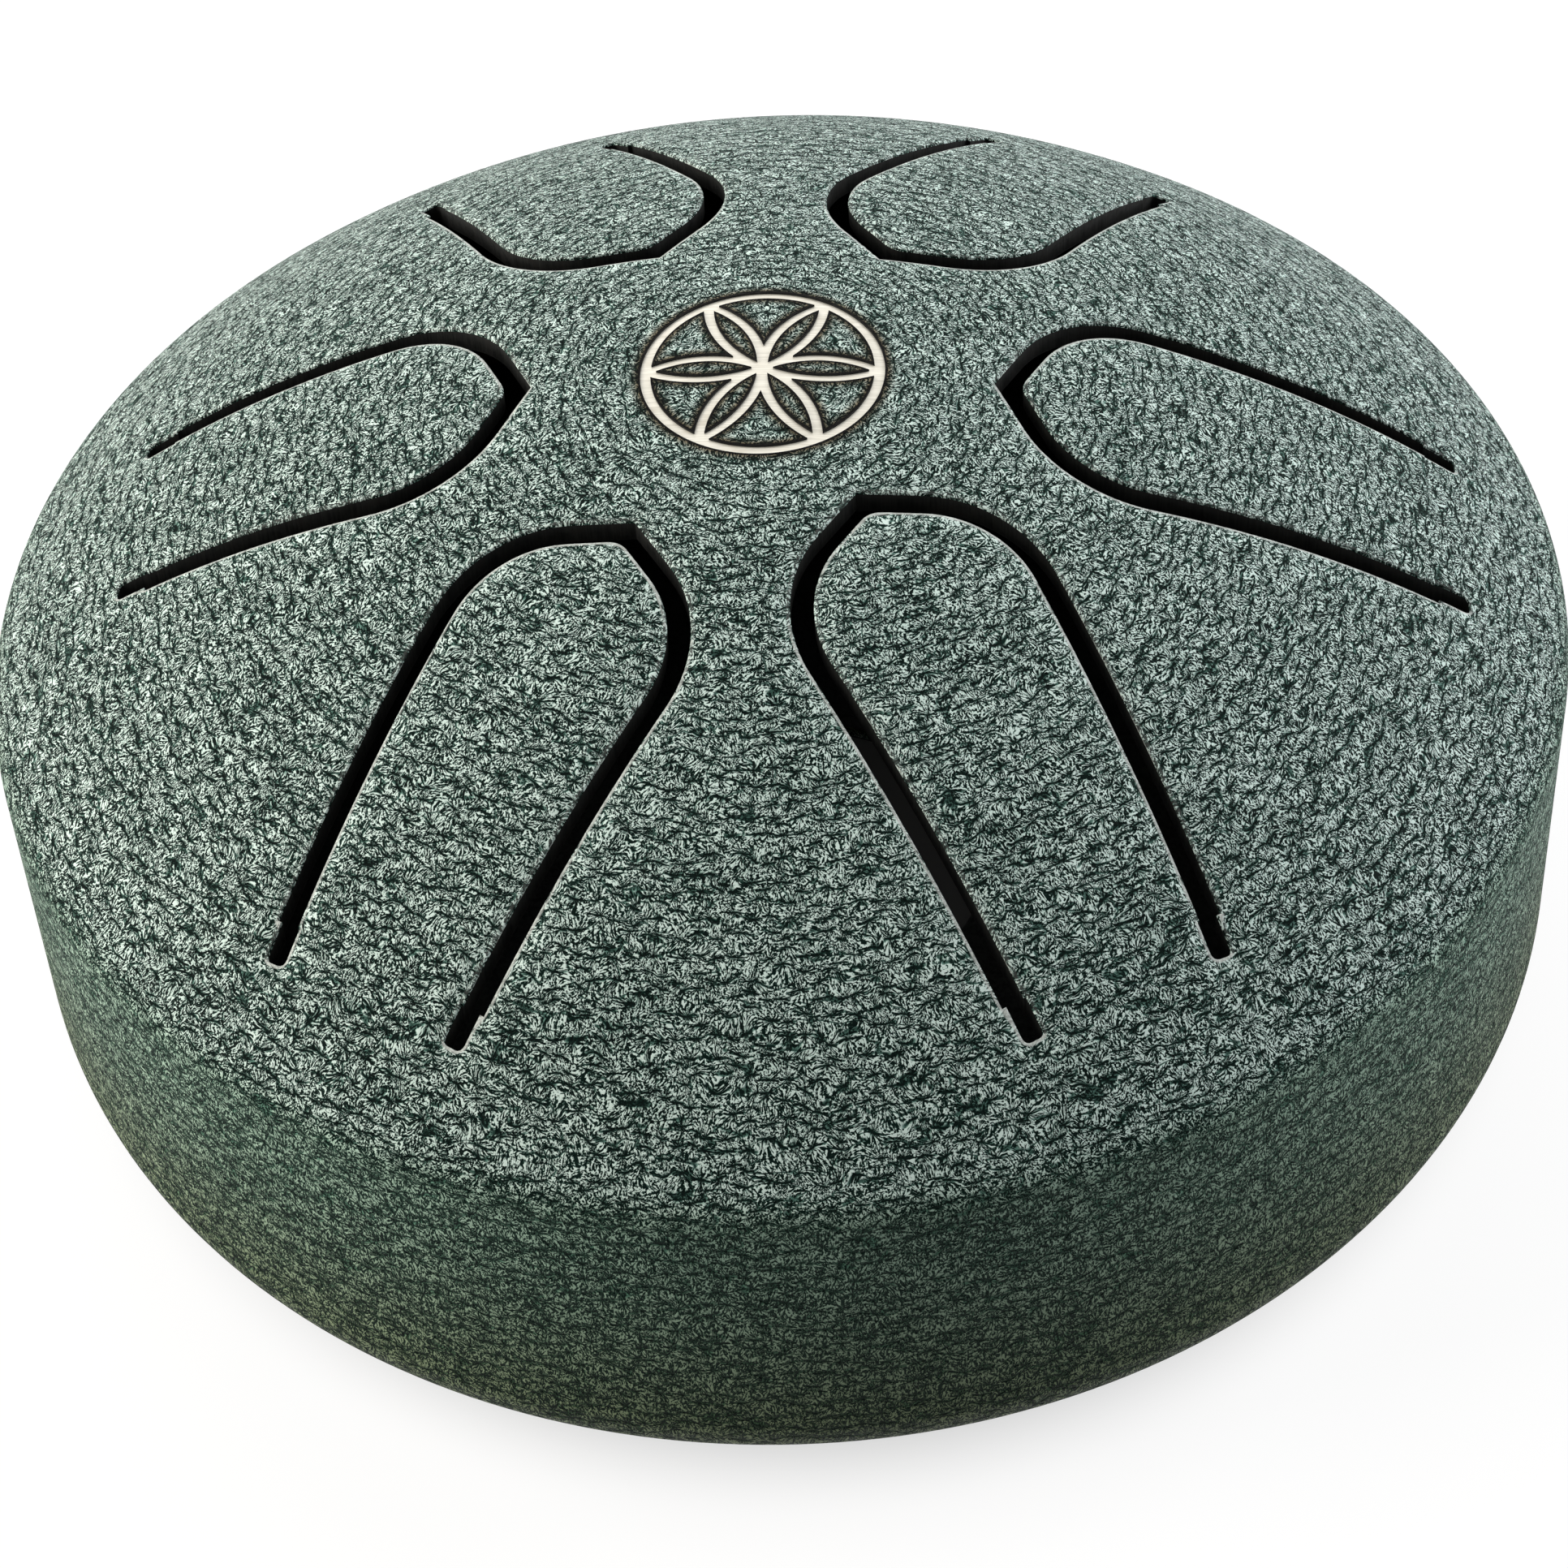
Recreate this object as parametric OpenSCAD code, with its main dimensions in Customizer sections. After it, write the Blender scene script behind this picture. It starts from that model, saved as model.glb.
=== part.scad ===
// Pocket steel tongue drum with six tongues.
// Two steel shells are welded into one closed body that stands on three rubber feet.
// Millimetres. The origin is on the floor under the drum's centre, and +Z is up.
// The first tongue points along +X, and the others follow it anticlockwise, seen from above.

/* [Body] */
// Outer diameter of the steel body
body_d = 76; // [70:0.5:100]
// Height of the side wall, from the base to the corner where the dome starts
wall_h = 19.5; // [17:0.1:26]
// Rise of the dome over that corner
dome_h = 14.9; // [12:0.1:20]
// Thickness of the steel sheet
sheet_t = 1.2; // [0.9:0.05:1.5]
// Inside radius of the bend between the side wall and the dome
shoulder_bend_r = 0.6; // [0.3:0.05:2]
// Inside radius of the bend between the base and the side wall
base_bend_r = 3.6; // [2:0.1:5]

/* [Tongues] */
// Width of the slot that cuts a tongue free
slot_w = 1.05; // [0.6:0.05:1.4]
// Width of a tongue at its widest, between the middles of its two slots
tongue_w = 11.4; // [9:0.1:12.5]
// Angle by which each side of a tongue leans in towards its root
tongue_lean = 2.9; // [0:0.1:4]
// Angle by which each half of the pointed tip slopes back
tip_slope = 26; // [15:1:32]
// Radius that rounds the point of a tongue
tip_round_r = 1.2; // [0.5:0.1:2]
// Length of the cut that lengthens each slot when the tongue is tuned
tuning_cut_l = 1.5; // [0.5:0.1:2.5]
// Width of that cut
tuning_cut_w = 0.95; // [0.5:0.05:1.2]
// Sideways step of that cut towards the tongue
tuning_cut_step = 0.2; // [0.05:0.05:0.3]

/* [Rosette] */
// Outer diameter of the rosette's ring
rosette_d = 11.3; // [8:0.1:12.5]
// Width of the ring's line
ring_line_w = 0.48; // [0.3:0.02:0.7]
// Width of the petals' lines
petal_line_w = 0.46; // [0.3:0.02:0.6]
// Depth to which the paint is burned away along the lines
rosette_depth = 0.1; // [0.05:0.01:0.2]

/* [Seam] */
// Height of the weld's middle over the base
seam_h = 8; // [7:0.1:10]
// Width of the weld on the outside of the wall
weld_w = 1.6; // [1.2:0.1:2]
// Width of the weld between the sheets' inner edges
weld_root_w = 0.4; // [0.2:0.05:0.6]
// Width of the bead on the inside of the wall
weld_bead_w = 2.2; // [1.6:0.1:3]
// Height of that bead
weld_bead_h = 0.5; // [0.3:0.05:0.8]

/* [Sound port] */
// Diameter of the sound port in the base
port_d = 20; // [14:0.5:28]

/* [Feet] */
// Direction of the first foot, anticlockwise from +X
foot_turn = 90; // [0:5:120]
// Distance from the side wall in to the middle of each foot
foot_inset = 14; // [12:0.5:16]
// Diameter of a foot under the base
foot_d = 9; // [7:0.1:10]
// Height of a foot under the base
foot_h = 3; // [2:0.1:5]
// Bevel round the bottom of a foot
foot_bevel = 0.8; // [0.4:0.1:1.2]
// Diameter of the hole that holds a foot
foot_hole_d = 4; // [3:0.1:4.6]
// Diameter of the barb that locks a foot in its hole
barb_d = 5.4; // [5:0.1:6.5]
// Height of the barb over the sheet
barb_h = 2; // [1.5:0.1:2.5]

/* [Hidden] */
$fn = 128;

// Where each tongue starts and ends, as shares of the body's radius, from the drum's axis:
// the tip of its slot, and the outer ends of its two slots.
// The longest tongue is the last one, and the shortest lies across from it.
tongue_tip_shares = [0.296, 0.287, 0.298, 0.299, 0.297, 0.252];
tongue_root_shares = [0.86, 0.775, 0.735, 0.808, 0.878, 0.87];

// Room between a foot's neck and its hole
foot_play = 0.05;
// Room between a foot's barb and the sheet
barb_play = 0.05;
// Overrun of every cut past the face that it opens
overrun = 1;

tongue_count = len(tongue_root_shares);
foot_count = 3;
body_r = body_d / 2;
foot_circle_r = body_r - foot_inset;
base_z = foot_h;
corner_z = base_z + wall_h;
top_z = corner_z + dome_h;
seam_z = base_z + seam_h;

// The dome is a spherical cap through the wall's top corner and the top of the drum.
dome_r = (pow(body_r, 2) + pow(dome_h, 2)) / (2 * dome_h);
dome_z = top_z - dome_r;

// The bend at the shoulder touches the wall and the dome from inside.
shoulder_r = shoulder_bend_r + sheet_t;
shoulder_x = body_r - shoulder_r;
shoulder_z = dome_z + sqrt(pow(dome_r - shoulder_r, 2) - pow(shoulder_x, 2));
shoulder_turn = atan2(shoulder_z - dome_z, shoulder_x);
bend_steps = 8;

// The bend at the base touches the base and the wall from inside.
base_r = base_bend_r + sheet_t;
base_x = body_r - base_r;
base_steps = 14;

// Steps of the round part of a tongue's tip, and petals of the rosette
tip_steps = 14;
petal_count = 6;

// Points on an arc from angle a0 to angle a1
function arc(centre, r, a0, a1, steps) =
    [for (i = [0 : steps]) centre + r * [cos(a0 + (a1 - a0) * i / steps), sin(a0 + (a1 - a0) * i / steps)]];

function flipped(points) = [for (p = points) [p[0], -p[1]]];

function reversed(points) = [for (i = [len(points) - 1 : -1 : 0]) points[i]];

// Outline of the wall and its shoulder, moved in by inset.
// The shoulder stops one step short of the dome and runs on straight, so that it crosses the dome's circle.
function wall_outline(inset) =
    let (
        last = shoulder_turn * (bend_steps - 1) / bend_steps,
        bend = arc([shoulder_x, shoulder_z], shoulder_r - inset, 0, last, bend_steps - 1),
        ahead = bend[len(bend) - 1] + shoulder_r * [-sin(last), cos(last)]
    )
    concat(bend, [ahead, [ahead[0], top_z + overrun], [0, top_z + overrun]]);

// The ball whose top is the dome, moved in by inset. Its poles lie on a level line, away from the rosette.
module dome_ball(inset) {
    translate([0, 0, dome_z])
        rotate([90, 0, 0])
            sphere(r = dome_r - inset);
}

// Solid body under the dome, moved in by inset and cut off at the height low
module body_core(inset, low) {
    intersection() {
        dome_ball(inset);
        rotate_extrude()
            polygon(concat([[0, low], [body_r - inset, low]], wall_outline(inset)));
    }
}

// Dome and side wall as one sheet, with the lower edge bevelled for the weld
module shell_blank() {
    difference() {
        body_core(0, seam_z + weld_root_w / 2);
        body_core(sheet_t, seam_z);
        rotate_extrude()
            polygon([
                [body_r - sheet_t, seam_z + weld_root_w / 2],
                [body_r, seam_z + weld_w / 2],
                [body_r + overrun, seam_z + weld_w / 2],
                [body_r + overrun, seam_z],
                [body_r - sheet_t, seam_z]
            ]);
    }
}

// One side of a slot, at the distance off outside its middle line.
// It runs from the tuning cut, where the distance is cut_off, to the tip, whose point corner_r rounds.
function slot_side(off, cut_off, tip_u, root_u, corner_r) =
    let (
        centre = [tip_u + tongue_w / 2 / cos(tip_slope), 0],
        from_centre = [sin(tongue_lean), cos(tongue_lean)],
        along = [1, -tan(tongue_lean)],
        leg = centre + (tongue_w / 2 + off) * from_centre,
        cut_leg = centre + (tongue_w / 2 + cut_off) * from_centre,
        tip_r = tongue_w / 2 + off,
        corner = centre - [(tip_r - corner_r) / cos(tip_slope), 0]
    )
    concat(
        [
            cut_leg + (root_u - cut_leg[0]) * along,
            cut_leg + (root_u - tuning_cut_l - cut_leg[0]) * along,
            leg + (root_u - tuning_cut_l - leg[0]) * along
        ],
        arc(centre, tip_r, 90 - tongue_lean, 180 - tip_slope, tip_steps),
        arc(corner, corner_r, 180 - tip_slope, 180, corner_r > 0 ? bend_steps : 1)
    );

// The slot round one tongue that points along +X, from its tip to its two root ends
module slot_outline(tip_u, root_u) {
    cut_off = slot_w / 2 - tuning_cut_step;
    outer = slot_side(slot_w / 2, cut_off, tip_u, root_u, 0);
    inner = slot_side(-slot_w / 2, cut_off - tuning_cut_w, tip_u, root_u, tip_round_r);
    polygon(concat(outer, reversed(flipped(outer)), flipped(inner), reversed(inner)));
}

// All the slots, cut straight down through the dome
module slots() {
    for (i = [0 : tongue_count - 1])
        rotate([0, 0, 360 * i / tongue_count])
            translate([0, 0, corner_z])
                linear_extrude(height = dome_h + overrun)
                    slot_outline(tongue_tip_shares[i] * body_r, tongue_root_shares[i] * body_r);
}

// A ring with the line width w, its middle at the radius r
module ring(r, w) {
    difference() {
        circle(r = r + w / 2);
        circle(r = r - w / 2);
    }
}

// Six petals drawn with the compass: six arcs with the ring's own radius, from points on the ring
module rosette_lines() {
    ring_r = (rosette_d - ring_line_w) / 2;
    ring(ring_r, ring_line_w);
    intersection() {
        circle(r = ring_r);
        union()
            for (i = [0 : petal_count - 1])
                rotate([0, 0, 360 * i / petal_count])
                    translate([ring_r, 0])
                        ring(ring_r, petal_line_w);
    }
}

// The rosette's lines, burned to an even depth into the top of the dome
module rosette_cut() {
    intersection() {
        translate([0, 0, corner_z])
            linear_extrude(height = dome_h + overrun)
                rosette_lines();
        difference() {
            translate([0, 0, corner_z + dome_h / 2])
                cylinder(h = dome_h, d = rosette_d + overrun);
            dome_ball(rosette_depth);
        }
    }
}

module top_shell() {
    color("darkslategray")
        difference() {
            shell_blank();
            slots();
            rosette_cut();
        }
}

// Places what follows on each foot's centre, at the height of the floor
module at_foot(i) {
    rotate([0, 0, foot_turn + 360 * i / foot_count])
        translate([foot_circle_r, 0, 0])
            children();
}

// Drawn pan with a rounded lower corner and a bevelled rim, pierced by the sound port and the foot holes
module bottom_pan() {
    bend_centre = [base_x, base_z + base_r];
    color("darkslategray")
        difference() {
            rotate_extrude()
                polygon(concat(
                    [[0, base_z]],
                    arc(bend_centre, base_r, -90, 0, base_steps),
                    [[body_r, seam_z - weld_w / 2], [body_r - sheet_t, seam_z - weld_root_w / 2]],
                    arc(bend_centre, base_bend_r, 0, -90, base_steps),
                    [[0, base_z + sheet_t]]
                ));
            translate([0, 0, base_z - overrun])
                cylinder(h = sheet_t + 2 * overrun, d = port_d);
            for (i = [0 : foot_count - 1])
                at_foot(i)
                    translate([0, 0, base_z - overrun])
                        cylinder(h = sheet_t + 2 * overrun, d = foot_hole_d);
        }
}

// Weld that fills the groove, flush with the wall outside and with a rounded bead inside
module seam_weld() {
    inner_x = body_r - sheet_t;
    bead_r = (pow(weld_bead_h, 2) + pow(weld_bead_w / 2, 2)) / (2 * weld_bead_h);
    bead_turn = asin(weld_bead_w / 2 / bead_r);
    bead_centre = [inner_x - weld_bead_h + bead_r, seam_z];
    color("slategray")
        rotate_extrude()
            polygon(concat(
                [
                    [inner_x, seam_z - weld_root_w / 2],
                    [body_r, seam_z - weld_w / 2],
                    [body_r, seam_z + weld_w / 2],
                    [inner_x, seam_z + weld_root_w / 2]
                ],
                arc(bead_centre, bead_r, 180 - bead_turn, 180 + bead_turn, bend_steps)
            ));
}

// Rubber foot: a pad under the base, a neck through its hole and a barb inside
module foot(i) {
    neck_r = foot_hole_d / 2 - foot_play;
    sheet_top = base_z + sheet_t + barb_play;
    color("black")
        at_foot(i)
            rotate_extrude()
                polygon([
                    [0, 0],
                    [foot_d / 2 - foot_bevel, 0],
                    [foot_d / 2, foot_bevel],
                    [foot_d / 2, base_z],
                    [neck_r, base_z],
                    [neck_r, sheet_top],
                    [barb_d / 2, sheet_top],
                    [neck_r - foot_play, base_z + sheet_t + barb_h],
                    [0, base_z + sheet_t + barb_h]
                ]);
}

top_shell();
bottom_pan();
seam_weld();
for (i = [0 : foot_count - 1])
    foot(i);
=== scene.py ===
# %% [markdown]
# # A pocket steel tongue drum
#
# Two steel shells are welded into one closed body. Six tongues are cut free in the domed top, a
# rosette is burned through its paint, and the drum stands on three rubber feet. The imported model
# gives the places and sizes. This lesson models each piece again with the rounded edges and the
# finish that a hand would feel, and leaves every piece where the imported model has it.

import math

import bmesh
import bpy
from mathutils import Matrix, Vector, kdtree


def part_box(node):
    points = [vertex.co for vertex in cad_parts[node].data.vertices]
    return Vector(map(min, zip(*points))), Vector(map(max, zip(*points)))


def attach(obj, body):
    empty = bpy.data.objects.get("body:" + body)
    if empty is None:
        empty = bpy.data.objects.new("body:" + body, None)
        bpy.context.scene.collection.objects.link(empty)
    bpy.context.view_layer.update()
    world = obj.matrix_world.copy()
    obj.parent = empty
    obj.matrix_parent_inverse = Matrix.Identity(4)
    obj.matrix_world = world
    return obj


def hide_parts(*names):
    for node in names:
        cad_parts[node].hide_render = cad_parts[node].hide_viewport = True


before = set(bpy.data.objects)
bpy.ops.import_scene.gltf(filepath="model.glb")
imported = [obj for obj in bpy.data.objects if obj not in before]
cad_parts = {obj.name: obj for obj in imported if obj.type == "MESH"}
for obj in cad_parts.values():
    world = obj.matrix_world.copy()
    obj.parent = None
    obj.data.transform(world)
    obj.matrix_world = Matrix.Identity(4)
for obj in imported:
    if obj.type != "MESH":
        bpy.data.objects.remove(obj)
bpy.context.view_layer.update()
MM = 0.001

# %% [markdown]
# ## Sizes
#
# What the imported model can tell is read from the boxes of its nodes, so that nothing has to be
# fitted later. What a box can't tell, such as the gauge of the sheet, is named here once. The dome
# is part of a ball: its radius follows from the rise and the width of the cap.

# %% Sizes
shell_low, shell_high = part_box("top_shell")
pan_low, pan_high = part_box("bottom_pan")
body_r = shell_high.x
top_z = shell_high.z
base_z = pan_low.z
seam_z = (shell_low.z + pan_high.z) / 2
dome_h = 14.9 * MM
sheet_t = 1.2 * MM
corner_z = top_z - dome_h
dome_r = (body_r**2 + dome_h**2) / (2 * dome_h)
dome_z = top_z - dome_r
shoulder_r = 1.8 * MM
shoulder_x = body_r - shoulder_r
shoulder_z = dome_z + math.sqrt((dome_r - shoulder_r) ** 2 - shoulder_x**2)
shoulder_turn = math.atan2(shoulder_z - dome_z, shoulder_x)
weld_w = 1.6 * MM
weld_root_w = 0.4 * MM
merge_gap = 0.0005 * MM
round_steps = 256
print("body", round(body_r / MM, 2), "dome radius", round(dome_r / MM, 2), "seam", round(seam_z / MM, 2))

# %% [markdown]
# ## Hands for the bench
#
# Some steps repeat: put a piece in the scene, make one active, cut it with another, cut a plate
# from outlines. Each is a short function, so the cells below read like a list of workshop steps.
# An operator acts on all that is selected, so work_on first deselects the rest.


# %% Bench functions
def work_on(piece):
    """Makes a piece the only selected one, and the active one."""
    bpy.ops.object.select_all(action="DESELECT")
    piece.select_set(True)
    bpy.context.view_layer.objects.active = piece


def add(name, data):
    """Puts a new object with the given data in the scene."""
    piece = bpy.data.objects.new(name, data)
    bpy.context.scene.collection.objects.link(piece)
    return piece


def cut(piece, tool, operation="DIFFERENCE"):
    """Cuts the piece with the tool and takes the tool away."""
    work_on(piece)
    bpy.ops.object.modifier_add(type="BOOLEAN")
    modifier = piece.modifiers[-1]
    modifier.operation = operation
    modifier.solver = "EXACT"
    modifier.object = tool
    bpy.ops.object.modifier_apply(modifier=modifier.name)
    bpy.data.objects.remove(tool)


def arc(centre, r, start, end, steps):
    """Points on an arc in a plane, from one angle to another, in degrees."""
    turns = [math.radians(start + (end - start) * i / steps) for i in range(steps + 1)]
    return [(centre[0] + r * math.cos(t), centre[1] + r * math.sin(t)) for t in turns]


def turned(points, degrees):
    """The points turned round the origin."""
    turn = Matrix.Rotation(math.radians(degrees), 2)
    return [tuple(turn @ Vector(p)) for p in points]


def plate(name, outlines, thickness, edge_r=0.0):
    """A flat plate cut from closed outlines, its top at z = 0 and its edges rounded."""
    curve = bpy.data.curves.new(name, "CURVE")
    curve.dimensions = "2D"
    curve.fill_mode = "BOTH"
    curve.extrude = thickness / 2 - edge_r
    curve.bevel_depth = edge_r
    curve.bevel_resolution = 1
    curve.offset = -edge_r
    for outline in outlines:
        spline = curve.splines.new("POLY")
        spline.points.add(len(outline) - 1)
        spline.points.foreach_set("co", [c for x, y in outline for c in (x, y, 0, 1)])
        spline.use_cyclic_u = True
    piece = add(name, curve)
    work_on(piece)
    bpy.ops.object.convert(target="MESH")
    bpy.ops.object.mode_set(mode="EDIT")
    bpy.ops.mesh.select_all(action="SELECT")
    bpy.ops.mesh.remove_doubles(threshold=merge_gap)
    bpy.ops.mesh.normals_make_consistent(inside=False)
    bpy.ops.transform.translate(value=(0, 0, -thickness / 2))
    bpy.ops.object.mode_set(mode="OBJECT")
    return piece


# %% [markdown]
# ## The flat blank of the top shell
#
# A real shell is a steel disc, pressed into a dome, with slots that a laser cuts. Cutting slots in
# a curved mesh leaves slivers, and its edges can't be rounded well. So the order is turned round:
# the slots are outlines in a flat 2D curve, whose bevel rounds their edges, and the flat blank is
# pressed afterwards. A slot starts at a pointed tip, runs out along both sides of its tongue and
# ends in a short narrower cut, made when the tongue is tuned. The corners of its ends are round,
# because a laser's beam is.

# %% Outline of a slot
slot_w = 1.05 * MM
tongue_w = 11.4 * MM
tongue_lean = 2.9
tip_slope = 26
tip_round_r = 1.2 * MM
tuning_cut_l = 1.5 * MM
tuning_cut_w = 0.95 * MM
tuning_cut_step = 0.2 * MM
slot_end_r = 0.3 * MM
sharp_turn = math.radians(120)
bow_steps = 20
point_steps = 6
tongue_tip_shares = [0.296, 0.287, 0.298, 0.299, 0.297, 0.252]
tongue_root_shares = [0.86, 0.775, 0.735, 0.808, 0.878, 0.87]


def slot_side(off, cut_off, tip_x, root_x, corner_r):
    """One side of a slot along +X: from its root end to the middle of its tip."""
    lean, slope = math.radians(tongue_lean), math.radians(tip_slope)
    centre = tip_x + tongue_w / 2 / math.cos(slope)
    tip_r = tongue_w / 2 + off
    corner = centre - (tip_r - corner_r) / math.cos(slope)

    def leg(distance, x):
        start_x = centre + distance * math.sin(lean)
        return (x, distance * math.cos(lean) - (x - start_x) * math.tan(lean))

    ends = [
        leg(tongue_w / 2 + cut_off, root_x),
        leg(tongue_w / 2 + cut_off, root_x - tuning_cut_l),
        leg(tip_r, root_x - tuning_cut_l),
    ]
    bow = arc((centre, 0), tip_r, 90 - tongue_lean, 180 - tip_slope, bow_steps)
    if corner_r:
        return ends + bow + arc((corner, 0), corner_r, 180 - tip_slope, 180, point_steps)
    return ends + bow + [(corner, 0)]


def eased(outline):
    """The outline with its sharp corners cut round, where there is room for that."""
    points = []
    for before, corner, after in zip(outline[-1:] + outline[:-1], outline, outline[1:] + outline[:1]):
        middle = Vector(corner)
        back, ahead = Vector(before) - middle, Vector(after) - middle
        has_room = min(back.length, ahead.length) > 2 * slot_end_r
        if has_room and back.angle(ahead) < sharp_turn:
            start = middle + back.normalized() * slot_end_r
            end = middle + ahead.normalized() * slot_end_r
            for share in (0, 0.25, 0.5, 0.75, 1):
                first, last = start.lerp(middle, share), middle.lerp(end, share)
                points.append(tuple(first.lerp(last, share)))
        else:
            points.append(corner)
    return points


def slot_outline(tip_x, root_x):
    """The closed outline of a slot: its outer side and back along its inner side."""
    cut_off = slot_w / 2 - tuning_cut_step
    outer = slot_side(slot_w / 2, cut_off, tip_x, root_x, 0)
    inner = slot_side(-slot_w / 2, cut_off - tuning_cut_w, tip_x, root_x, tip_round_r)

    def whole(side):
        return side + [(x, -y) for x, y in side[-2::-1]]

    return eased(whole(outer) + whole(inner)[::-1])


slots = [
    turned(slot_outline(tip * body_r, root * body_r), 60 * i)
    for i, (tip, root) in enumerate(zip(tongue_tip_shares, tongue_root_shares))
]
print("slots:", len(slots), "with", len(slots[0]), "points each")

# %% [markdown]
# The blank is first cut a little too wide, so that the curve's bevel rounds only the slots, and
# then turned down to its size by a cylinder. Its rim is where the dome meets the shoulder's bend.

# %% Blank with its slots
slot_edge_r = 0.14 * MM
rim_r = shoulder_x + shoulder_r * math.cos(shoulder_turn)
wide = arc((0, 0), body_r, 0, 360 * (1 - 1 / round_steps), round_steps - 1)
shell = plate("top_shell_skin", [wide, *slots], sheet_t, slot_edge_r)
work_on(shell)
bpy.ops.mesh.primitive_cylinder_add(vertices=round_steps, radius=rim_r, depth=3 * sheet_t)
cut(shell, bpy.context.object, "INTERSECT")
print("blank:", len(shell.data.polygons), "faces")

# %% [markdown]
# ## The rosette
#
# On the drum a laser burns the paint away along the lines of a compass drawing: one ring, and six
# arcs with the ring's own radius, struck from six points on it. The tool that cuts this groove is
# a disc with twelve windows: six petals, and the six fields between them and the ring. Each window
# is bounded by arcs, so its corners are where two circles meet.

# %% Rosette tool
rosette_d = 11.3 * MM
ring_line_w = 0.48 * MM
petal_line_w = 0.46 * MM
rosette_depth = 0.1 * MM
ring_r = (rosette_d - ring_line_w) / 2
window_r = ring_r - ring_line_w / 2
compass_steps = 14


def compass_arc(centre, r, first, last):
    """The shorter arc round the centre from one point towards another."""
    start = math.degrees(math.atan2(first[1] - centre[1], first[0] - centre[0]))
    end = math.degrees(math.atan2(last[1] - centre[1], last[0] - centre[0]))
    end += 360 * round((start - end) / 360)
    return arc(centre, r, start, end, compass_steps)[:-1]


def meetings(c0, r0, c1, r1):
    """The two points where two circles meet, right and left of the way between their centres."""
    a, b = Vector(c0), Vector(c1)
    gap = (b - a).length
    along = (r0**2 - r1**2 + gap**2) / (2 * gap)
    off = math.sqrt(r0**2 - along**2)
    ahead = (b - a) / gap
    return [a + along * ahead + side * off * Vector((-ahead.y, ahead.x)) for side in (-1, 1)]


def struck(degrees):
    """A point on the ring, from which an arc is struck."""
    return (ring_r * math.cos(math.radians(degrees)), ring_r * math.sin(math.radians(degrees)))


def towards_field(point):
    """How far a point lies towards the field between two petals, at 30 degrees."""
    return point.dot(Vector(struck(30)))


petal_in = ring_r - petal_line_w / 2
petal_out = ring_r + petal_line_w / 2
low, high = struck(-60), struck(60)
tips = meetings(low, petal_in, high, petal_in)
petal = compass_arc(low, petal_in, *tips) + compass_arc(high, petal_in, *tips[::-1])
low, high = struck(-60), struck(120)
heart = max(meetings(low, petal_out, high, petal_out), key=towards_field)
ends = [max(meetings(c, petal_out, (0, 0), window_r), key=towards_field) for c in (low, high)]
field = compass_arc(low, petal_out, heart, ends[0]) + compass_arc((0, 0), window_r, *ends)
field += compass_arc(high, petal_out, ends[1], heart)
windows = [turned(shape, 60 * i) for shape in (petal, field) for i in range(6)]
disc = arc((0, 0), rosette_d / 2, 0, 360 * (1 - 1 / round_steps), round_steps - 1)
tool = plate("rosette_tool", [disc, *windows], 2 * rosette_depth)
tool.data.transform(Matrix.Translation((0, 0, rosette_depth)))
print("rosette tool:", len(tool.data.polygons), "faces")
cut(shell, tool)
print("blank with its rosette:", len(shell.data.polygons), "faces")

# %% [markdown]
# ## Dicing and sorting
#
# A flat face can't bend, so the blank is diced by planes along X and Y until its faces are small.
# Each face then gets its finish while the blank is flat, because there its height and the way it
# faces say whether it is paint, bare steel, the wall of a slot or the inside. Each point keeps its
# depth in the sheet, from 0 outside to 1 inside, which later steps ask for.

# %% Dice the blank
dice_pitch = 0.8 * MM
count = math.ceil(rim_r / dice_pitch)
work_on(shell)
bpy.ops.object.mode_set(mode="EDIT")
bpy.ops.mesh.select_all(action="SELECT")
bpy.ops.mesh.dissolve_limited(angle_limit=math.radians(0.05))
print("dissolved blank:", len(bmesh.from_edit_mesh(shell.data).faces), "faces")
for normal in (Vector((1, 0, 0)), Vector((0, 1, 0))):
    for k in range(-count, count):
        place = normal * (k + 0.5) * dice_pitch
        bpy.ops.mesh.select_all(action="SELECT")
        bpy.ops.mesh.bisect(plane_co=place, plane_no=normal, threshold=merge_gap / 10)
bpy.ops.object.mode_set(mode="OBJECT")
print("diced blank:", len(shell.data.polygons), "faces")

# %% Sort the faces by finish
PAINT, STEEL, CUT, INSIDE = range(4)
finish_names = ["shell_coat", "bare_steel", "cut_edge", "inner_coat"]
hair = 0.01 * MM
nearly_level = 0.9
leaning = 0.2
for face in shell.data.polygons:
    z, up = face.center.z, face.normal.z
    if up > nearly_level and -rosette_depth - hair < z < -rosette_depth + hair:
        face.material_index = STEEL
    elif up > leaning:
        face.material_index = PAINT
    elif up < -leaning:
        face.material_index = INSIDE
    else:
        face.material_index = CUT
depth = shell.data.attributes.new("sheet_depth", "FLOAT", "POINT")
depth.data.foreach_set("value", [-v.co.z / sheet_t for v in shell.data.vertices])
finishes = [face.material_index for face in shell.data.polygons]
print({name: finishes.count(i) for i, name in enumerate(finish_names)})
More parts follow.
